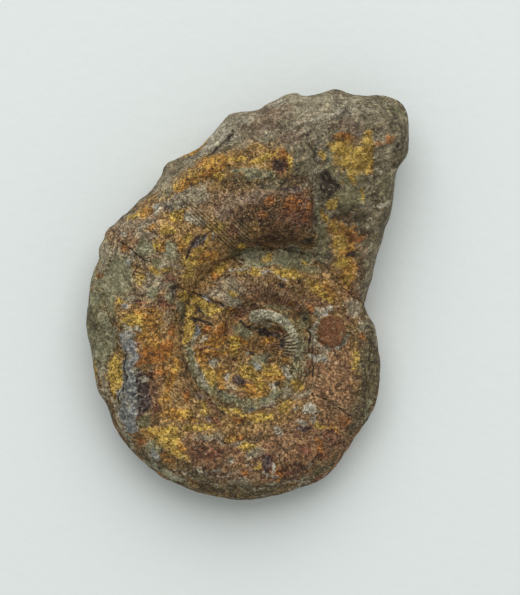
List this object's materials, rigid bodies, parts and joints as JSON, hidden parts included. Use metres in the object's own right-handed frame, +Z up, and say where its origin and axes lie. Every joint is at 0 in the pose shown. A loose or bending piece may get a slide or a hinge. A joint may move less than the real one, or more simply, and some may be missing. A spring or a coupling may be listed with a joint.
{
  "type": "fossil nautiloid",
  "caption": "Coiled fossil shell with a wide open umbilicus, its broken mouth still held in a wedge of rough matrix, lying on its worn flat back.",
  "frame": {"origin": "middle of the stone's bounding box in plan, on the surface that it rests on", "axes": "+Z up from the resting surface, out of the fossil's shown side; +Y along the stone's long way, from the coil towards the matrix wedge past the mouth; +X to the right seen from above, so the shell grows clockwise from +X"},
  "size_m": [0.0646, 0.082, 0.0215],
  "materials": {
    "nautiloid_fossil": "weathered, matte, mottled ochre, rust, red-brown and grey-green"
  },
  "bodies": {
    "root": {"nautiloid_fossil": "nautiloid_fossil"}
  },
  "joints": []
}
